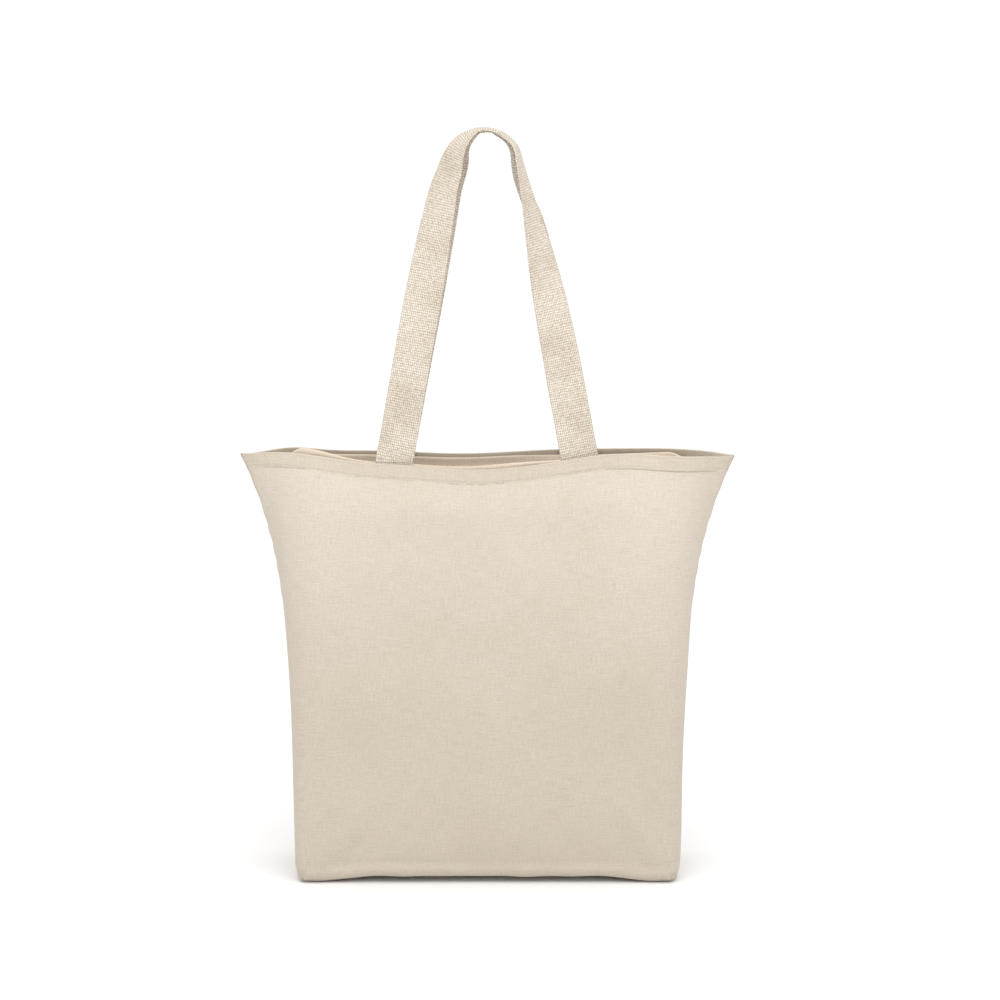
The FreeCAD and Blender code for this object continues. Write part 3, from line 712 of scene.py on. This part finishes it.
def build_coil(front):
    """The wound coil: one nylon strand in a long, slightly flattened spiral, whose turns are the teeth."""
    side = -1 if front else 1
    pitch = 0.0015
    strand = 0.00034
    turns = int(2 * COIL_END / pitch)
    per_turn = 12
    t = np.arange(turns * per_turn + 1) / per_turn
    x = -COIL_END + strand + t * (2 * COIL_END - 2 * strand) / turns
    middle = np.array([coil_middle(v) for v in np.linspace(-COIL_END, COIL_END, 400)])
    ys = np.interp(x, np.linspace(-COIL_END, COIL_END, 400), middle[:, 0])
    zs = np.interp(x, np.linspace(-COIL_END, COIL_END, 400), middle[:, 1])
    phase = 0.0 if front else math.pi
    reach = COIL_ROUND - strand
    route = np.stack([x, side * (ys + reach * np.cos(2 * math.pi * t + phase)),
                      zs + reach * 0.92 * np.sin(2 * math.pi * t + phase)], 1)
    ahead = np.gradient(route, axis=0)
    ahead /= np.linalg.norm(ahead, axis=1)[:, None]
    first = np.cross(ahead, [1.0, 0.0, 0.0])
    first /= np.linalg.norm(first, axis=1)[:, None]
    second = np.cross(ahead, first)
    sides = 5
    points = []
    for p, a, b in zip(route, first, second):
        for i in range(sides):
            angle = 2 * math.pi * i / sides
            points.append(p + (a * math.cos(angle) + b * math.sin(angle)) * strand)
    faces = grid_faces(len(route), sides, closed=True)
    faces.append(tuple(range(sides))[::-1])
    faces.append(tuple(len(points) - sides + i for i in range(sides)))
    return add_mesh(("front" if front else "back") + "_zipper_coil", points, faces)


# ---------- materials ----------

def new_material(name):
    material = bpy.data.materials.new(name)
    material.use_nodes = True
    nodes = material.node_tree.nodes
    return material, nodes, material.node_tree.links, nodes["Principled BSDF"]


def math_node(nodes, links, operation, first, second=None):
    made = nodes.new("ShaderNodeMath")
    made.operation = operation
    for socket, value in zip(made.inputs, (first, second)):
        if isinstance(value, (int, float)):
            socket.default_value = value
        elif value is not None:
            links.new(value, socket)
    return made.outputs[0]


def noise(nodes, links, vector, scale, detail=3.0, rough=0.55):
    made = nodes.new("ShaderNodeTexNoise")
    made.inputs["Scale"].default_value = scale
    made.inputs["Detail"].default_value = detail
    made.inputs["Roughness"].default_value = rough
    links.new(vector, made.inputs["Vector"])
    return made.outputs["Fac"]


def stretched(nodes, links, vector, x, y):
    made = nodes.new("ShaderNodeMapping")
    made.inputs["Scale"].default_value = (x, y, 1.0)
    links.new(vector, made.inputs["Vector"])
    return made.outputs["Vector"]


def ramp(nodes, links, value, stops):
    made = nodes.new("ShaderNodeValToRGB")
    made.color_ramp.elements[0].position, made.color_ramp.elements[0].color = stops[0][0], (*stops[0][1], 1)
    made.color_ramp.elements[1].position, made.color_ramp.elements[1].color = stops[-1][0], (*stops[-1][1], 1)
    for position, colour in stops[1:-1]:
        made.color_ramp.elements.new(position).color = (*colour, 1)
    links.new(value, made.inputs["Fac"])
    return made.outputs["Color"]


def mixed(nodes, links, kind, factor, first, second):
    made = nodes.new("ShaderNodeMix")
    made.data_type = "RGBA"
    made.blend_type = kind
    for socket, value in ((made.inputs["Factor"], factor), (made.inputs[6], first), (made.inputs[7], second)):
        if isinstance(value, (int, float)):
            socket.default_value = value
        elif isinstance(value, tuple):
            socket.default_value = (*value, 1)
        else:
            links.new(value, socket)
    return made.outputs[2]


def shaded(nodes, links, colour, share, value, stops):
    """The colour, darkened and lightened by a ramp over the value."""
    return mixed(nodes, links, "MULTIPLY", share, colour, ramp(nodes, links, value, stops))


def scaled(nodes, links, value, factor, more=0.0):
    """value * factor + more"""
    made = math_node(nodes, links, "MULTIPLY", value, factor)
    return math_node(nodes, links, "ADD", made, more) if more else made


def summed(nodes, links, first, *others):
    """The first value with each (value, factor) added to it."""
    for value, factor in others:
        first = math_node(nodes, links, "ADD", first, scaled(nodes, links, value, factor))
    return first


def add_bump(nodes, links, shader, height, strength, distance):
    made = nodes.new("ShaderNodeBump")
    made.inputs["Strength"].default_value = strength
    made.inputs["Distance"].default_value = distance
    links.new(height, made.inputs["Height"])
    links.new(made.outputs["Normal"], shader.inputs["Normal"])


def cloth_coordinates(nodes, links):
    made = nodes.new("ShaderNodeUVMap")
    made.uv_map = "Cloth"
    split = nodes.new("ShaderNodeSeparateXYZ")
    links.new(made.outputs["UV"], split.inputs["Vector"])
    return made.outputs["UV"], split.outputs["X"], split.outputs["Y"]


def plain_weave(nodes, links, x, y, pitch_x, pitch_y):
    """Height of a plain weave, 0 to 1: threads that pass over and under each other by turns."""
    along = math_node(nodes, links, "SINE", math_node(nodes, links, "MULTIPLY", x, math.pi / pitch_x))
    up = math_node(nodes, links, "SINE", math_node(nodes, links, "MULTIPLY", y, math.pi / pitch_y))
    over = math_node(nodes, links, "MULTIPLY", along, up)
    return math_node(nodes, links, "ADD", math_node(nodes, links, "ABSOLUTE", over),
                     math_node(nodes, links, "MULTIPLY", over, 0.35))


HEM_STARTS = float(panel_levels()[1][int(np.argmax(panel_levels()[0][:, 0] >= HEIGHT - HEM))])


def canvas_material(name, tint):
    material, nodes, links, shader = new_material(name)
    uv, x, plain_y = cloth_coordinates(nodes, links)
    # uneven yarns: the threads wander a little, so the weave isn't a ruled grid
    wobble = noise(nodes, links, uv, 60.0, 2.0)
    x = summed(nodes, links, x, (wobble, 0.0016))
    y = summed(nodes, links, plain_y, (wobble, 0.0012))
    weave = plain_weave(nodes, links, x, y, 0.00074, 0.00086)
    weft = noise(nodes, links, stretched(nodes, links, uv, 60.0, 1150.0), 1.0, 2.0)
    warp = noise(nodes, links, stretched(nodes, links, uv, 1150.0, 75.0), 1.0, 2.0)
    grain = noise(nodes, links, stretched(nodes, links, uv, 520.0, 900.0), 1.0, 3.0, 0.6)
    cloudy = noise(nodes, links, uv, 9.0, 4.0, 0.6)
    fleck = noise(nodes, links, stretched(nodes, links, uv, 260.0, 620.0), 1.0, 1.0)
    fleck_mask = ramp(nodes, links, fleck, [(0.71, (0, 0, 0)), (0.76, (1, 1, 1))])
    slub = noise(nodes, links, stretched(nodes, links, uv, 55.0, 700.0), 1.0, 1.0)
    slub_mask = ramp(nodes, links, slub, [(0.70, (0, 0, 0)), (0.78, (1, 1, 1))])
    dark = tuple(c * k for c, k in zip(tint, (0.965, 0.96, 0.95)))
    light = tuple(min(1.0, c * k) for c, k in zip(tint, (1.02, 1.022, 1.03)))
    colour = ramp(nodes, links, cloudy, [(0.30, dark), (0.52, tint), (0.74, light)])
    colour = shaded(nodes, links, colour, 0.75, weft,
                    [(0.28, (0.90, 0.895, 0.88)), (0.62, (1.03, 1.03, 1.03))])
    colour = shaded(nodes, links, colour, 0.65, warp,
                    [(0.28, (0.91, 0.905, 0.89)), (0.62, (1.03, 1.03, 1.03))])
    colour = shaded(nodes, links, colour, 0.65, grain,
                    [(0.30, (0.84, 0.83, 0.81)), (0.66, (1.07, 1.07, 1.07))])
    colour = shaded(nodes, links, colour, 0.55, weave, [(0.05, (0.80, 0.78, 0.74)), (0.75, (1.0, 1.0, 1.0))])
    colour = mixed(nodes, links, "MIX", math_node(nodes, links, "MULTIPLY", fleck_mask, 0.28), colour,
                   tuple(c * k for c, k in zip(tint, (0.66, 0.58, 0.46))))
    colour = mixed(nodes, links, "MIX", math_node(nodes, links, "MULTIPLY", slub_mask, 0.35), colour,
                   tuple(min(1.0, c * k) for c, k in zip(tint, (1.09, 1.09, 1.11))))
    # the lower half is a shade darker; this is painted shade, standing in for the lower cloth getting less of
    # the light from above
    low = nodes.new("ShaderNodeMapRange")
    low.inputs["From Min"].default_value = 0.15
    low.inputs["From Max"].default_value = 0.36
    links.new(y, low.inputs["Value"])
    wear_and_painted_shade = math_node(nodes, links, "SUBTRACT", 1.0, low.outputs[0])
    colour = mixed(nodes, links, "MULTIPLY", wear_and_painted_shade, colour, (0.915, 0.90, 0.885))
    # the hem's two layers let no light through from behind, so it looks a little greyer than the single cloth
    hem_mask = nodes.new("ShaderNodeMapRange")
    hem_mask.inputs["From Min"].default_value = HEM_STARTS - 0.0015
    hem_mask.inputs["From Max"].default_value = HEM_STARTS + 0.0015
    links.new(plain_y, hem_mask.inputs["Value"])
    colour = mixed(nodes, links, "MULTIPLY", hem_mask.outputs[0], colour, (0.945, 0.93, 0.91))
    links.new(colour, shader.inputs["Base Color"])
    links.new(scaled(nodes, links, grain, 0.12, 0.83), shader.inputs["Roughness"])
    shader.inputs["Sheen Weight"].default_value = 0.12
    shader.inputs["Sheen Roughness"].default_value = 0.6
    shader.inputs["Specular IOR Level"].default_value = 0.2
    height = summed(nodes, links, weave, (weft, 0.7), (warp, 0.6), (slub_mask, 0.5))
    add_bump(nodes, links, shader, height, 0.5, 0.00022)
    return material


def webbing_material():
    """Coarse cotton webbing: paired warp cords, with the weft's ribs across them, and dark gaps between."""
    material, nodes, links, shader = new_material("webbing_cotton")
    uv, x, y = cloth_coordinates(nodes, links)
    wobble = noise(nodes, links, uv, 140.0, 2.0)
    x = summed(nodes, links, x, (wobble, 0.0013))
    y = summed(nodes, links, y, (wobble, 0.0016))
    basket = plain_weave(nodes, links, x, y, 0.0018, 0.00235)
    fine = plain_weave(nodes, links, x, y, 0.00060, 0.0016)
    rough = noise(nodes, links, stretched(nodes, links, uv, 900.0, 420.0), 1.0, 3.0, 0.65)
    patch = noise(nodes, links, uv, 22.0, 3.0)
    blot = noise(nodes, links, stretched(nodes, links, uv, 330.0, 280.0), 1.0, 2.0)
    tint = WEBBING_TINT
    dark = tuple(c * k for c, k in zip(tint, (0.87, 0.85, 0.81)))
    light = tuple(min(1.0, c * k) for c, k in zip(tint, (1.08, 1.09, 1.11)))
    colour = ramp(nodes, links, patch, [(0.30, dark), (0.52, tint), (0.74, light)])
    colour = shaded(nodes, links, colour, 0.85, basket,
                    [(0.04, (0.50, 0.46, 0.40)), (0.30, (0.90, 0.89, 0.87)), (0.95, (1.08, 1.08, 1.08))])
    colour = shaded(nodes, links, colour, 0.6, fine, [(0.05, (0.86, 0.85, 0.82)), (0.60, (1.02, 1.02, 1.02))])
    colour = shaded(nodes, links, colour, 0.75, blot,
                    [(0.32, (0.80, 0.78, 0.74)), (0.50, (1.0, 1.0, 1.0)), (0.70, (1.12, 1.12, 1.12))])
    colour = shaded(nodes, links, colour, 0.7, rough,
                    [(0.28, (0.86, 0.85, 0.83)), (0.66, (1.06, 1.06, 1.06))])
    links.new(colour, shader.inputs["Base Color"])
    links.new(scaled(nodes, links, rough, 0.15, 0.80), shader.inputs["Roughness"])
    shader.inputs["Sheen Weight"].default_value = 0.12
    shader.inputs["Specular IOR Level"].default_value = 0.2
    height = summed(nodes, links, basket, (fine, 0.25), (rough, 0.35))
    add_bump(nodes, links, shader, height, 0.7, 0.0006)
    return material


def thread_material():
    material, nodes, links, shader = new_material("sewing_thread")
    place = nodes.new("ShaderNodeTexCoord").outputs["Object"]
    twist = nodes.new("ShaderNodeTexWave")
    twist.bands_direction = "DIAGONAL"
    twist.inputs["Scale"].default_value = 900.0
    twist.inputs["Distortion"].default_value = 1.5
    links.new(place, twist.inputs["Vector"])
    colour = ramp(nodes, links, twist.outputs["Fac"], [(0.1, (0.56, 0.49, 0.39)), (0.9, (0.78, 0.71, 0.60))])
    links.new(colour, shader.inputs["Base Color"])
    links.new(scaled(nodes, links, twist.outputs["Fac"], 0.15, 0.55), shader.inputs["Roughness"])
    shader.inputs["Sheen Weight"].default_value = 0.2
    return material


def tape_material():
    """Woven polyester zip tape: fine herringbone ribs along its length."""
    material, nodes, links, shader = new_material("zip_tape_woven")
    uv, x, y = cloth_coordinates(nodes, links)
    slant = math_node(nodes, links, "PINGPONG", y, 0.0018)
    across = math_node(nodes, links, "ADD", x, slant)
    rib = math_node(nodes, links, "SINE", scaled(nodes, links, across, 2 * math.pi / RIB_PITCH))
    rib = scaled(nodes, links, rib, 0.5, 0.5)
    grain = noise(nodes, links, uv, 700.0, 2.0)
    colour = ramp(nodes, links, rib, [(0.0, (0.56, 0.50, 0.41)), (0.8, (0.74, 0.68, 0.58))])
    colour = shaded(nodes, links, colour, 0.7, grain, [(0.3, (0.92, 0.92, 0.91)), (0.7, (1.04, 1.04, 1.04))])
    links.new(colour, shader.inputs["Base Color"])
    links.new(scaled(nodes, links, grain, 0.2, 0.6), shader.inputs["Roughness"])
    add_bump(nodes, links, shader, rib, 0.5, 0.0001)
    return material


def coil_material():
    material, nodes, links, shader = new_material("zip_coil_nylon")
    place = nodes.new("ShaderNodeTexCoord").outputs["Object"]
    spots = noise(nodes, links, place, 400.0, 2.0)
    colour = ramp(nodes, links, spots, [(0.3, (0.60, 0.53, 0.43)), (0.7, (0.72, 0.66, 0.56))])
    links.new(colour, shader.inputs["Base Color"])
    links.new(scaled(nodes, links, spots, 0.2, 0.28), shader.inputs["Roughness"])
    return material


def metal_material():
    material, nodes, links, shader = new_material("zip_metal_plated")
    place = nodes.new("ShaderNodeTexCoord").outputs["Object"]
    brushed = noise(nodes, links, stretched(nodes, links, place, 300.0, 2600.0), 1.0, 3.0)
    wear_and_painted_shade = noise(nodes, links, place, 220.0, 3.0)
    colour = ramp(nodes, links, wear_and_painted_shade, [(0.3, (0.50, 0.49, 0.47)), (0.7, (0.68, 0.67, 0.65))])
    links.new(colour, shader.inputs["Base Color"])
    shader.inputs["Metallic"].default_value = 1.0
    links.new(scaled(nodes, links, brushed, 0.22, 0.22), shader.inputs["Roughness"])
    add_bump(nodes, links, shader, brushed, 0.25, 0.00005)
    return material


# ---------- the pieces ----------

CANVAS = canvas_material("canvas_natural", CANVAS_TINT)
# lighter and warmer, in place of the light that comes through the cloth inside the mouth
INSIDE_CANVAS = canvas_material("canvas_plackets", INSIDE_TINT)
WEBBING = webbing_material()
THREAD = thread_material()
TAPE = tape_material()
COIL = coil_material()
METAL = metal_material()


def dress(obj, material, slot, *nodes):
    obj.data.materials.clear()
    obj.data.materials.append(material)
    if nodes:
        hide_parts(*nodes)
    return obj


for is_front in (True, False):
    word = "front" if is_front else "back"
    panel = dress(build_panel(is_front), CANVAS, "canvas", word + "_panel")
    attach(panel, "root")
    rows_made = hem_rows(is_front)
    for stitch_row in rows_made:
        dress(stitch_row, THREAD, "thread")
        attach(stitch_row, "root")
    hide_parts(word + "_hem_stitching")

    handle = dress(build_handle(is_front), WEBBING, "webbing", word + "_handle", word + "_handle_ends")
    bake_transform(handle)

    placket = dress(build_placket(is_front), INSIDE_CANVAS, "canvas", word + "_placket")
    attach(placket, "root")

    tape = dress(build_tape(is_front), TAPE, "zip_tape", word + "_zip_tape")
    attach(tape, "root")

    coil = dress(build_coil(is_front), COIL, "zip_coil", word + "_zip_coil")
    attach(coil, "root")

for name in ("zip_slider", "zip_pull", "zip_bottom_stop", "zip_top_stops"):
    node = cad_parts[name]
    for index in range(len(node.material_slots)):
        node.material_slots[index].link = "OBJECT"
        node.material_slots[index].material = METAL
    edge = node.modifiers.new("Worn_edge", "BEVEL")
    edge.width = 0.00018
    edge.segments = 2
    edge.limit_method = "ANGLE"

# ---------- studio ----------

floor_mesh = bpy.data.meshes.new("studio_floor")
corners = [(x * FLOOR_HALF, y * FLOOR_HALF, 0) for x, y in ((-1, -1), (1, -1), (1, 1), (-1, 1))]
floor_mesh.from_pydata(corners, [], [(0, 1, 2, 3)])
floor = bpy.data.objects.new("studio_floor", floor_mesh)
bpy.context.scene.collection.objects.link(floor)
floor_paint = bpy.data.materials.new("floor_white")
floor_paint.use_nodes = True
floor_shader = floor_paint.node_tree.nodes["Principled BSDF"]
floor_shader.inputs["Base Color"].default_value = (FLOOR_WHITE, FLOOR_WHITE, FLOOR_WHITE, 1)
floor_shader.inputs["Roughness"].default_value = 0.9
floor_shader.inputs["Specular IOR Level"].default_value = 0.0
floor_mesh.materials.append(floor_paint)

world = bpy.data.worlds.new("studio")
bpy.context.scene.world = world
world.use_nodes = True
world.node_tree.nodes["Background"].inputs["Color"].default_value = (1.0, 1.0, 1.0, 1)
world.node_tree.nodes["Background"].inputs["Strength"].default_value = 1.0


def area_light(name, place, target, size, power):
    data = bpy.data.lights.new(name, "AREA")
    data.shape = "SQUARE"
    data.size = size
    data.energy = power
    obj = bpy.data.objects.new(name, data)
    obj.location = place
    obj.rotation_euler = (Vector(target) - Vector(place)).to_track_quat("-Z", "Y").to_euler()
    bpy.context.scene.collection.objects.link(obj)
    return obj


area_light("key", KEY_PLACE, KEY_AIM, KEY_SIZE, KEY_POWER)
sun = bpy.data.objects.new("sky", bpy.data.lights.new("sky", "SUN"))
sun.data.energy = SUN_POWER
sun.data.angle = math.radians(SUN_ANGLE)
sun.rotation_euler = Vector(SUN_WAY).to_track_quat("-Z", "Y").to_euler()
bpy.context.scene.collection.objects.link(sun)

bpy.context.scene.view_settings.view_transform = "Standard"
bpy.context.scene.view_settings.look = "None"

camera_data = bpy.data.cameras.new("camera")
camera = bpy.data.objects.new("camera", camera_data)
bpy.context.scene.collection.objects.link(camera)
look_at = Vector(CAMERA_AIM)
rise_angle = math.radians(CAMERA_RISE)
camera.location = look_at + Vector((0, -math.cos(rise_angle), math.sin(rise_angle))) * CAMERA_DISTANCE
camera.rotation_euler = (look_at - camera.location).to_track_quat("-Z", "Y").to_euler()
camera_data.sensor_width = 36
camera_data.lens = CAMERA_LENS
camera_data.clip_start = 0.05
bpy.context.scene.camera = camera
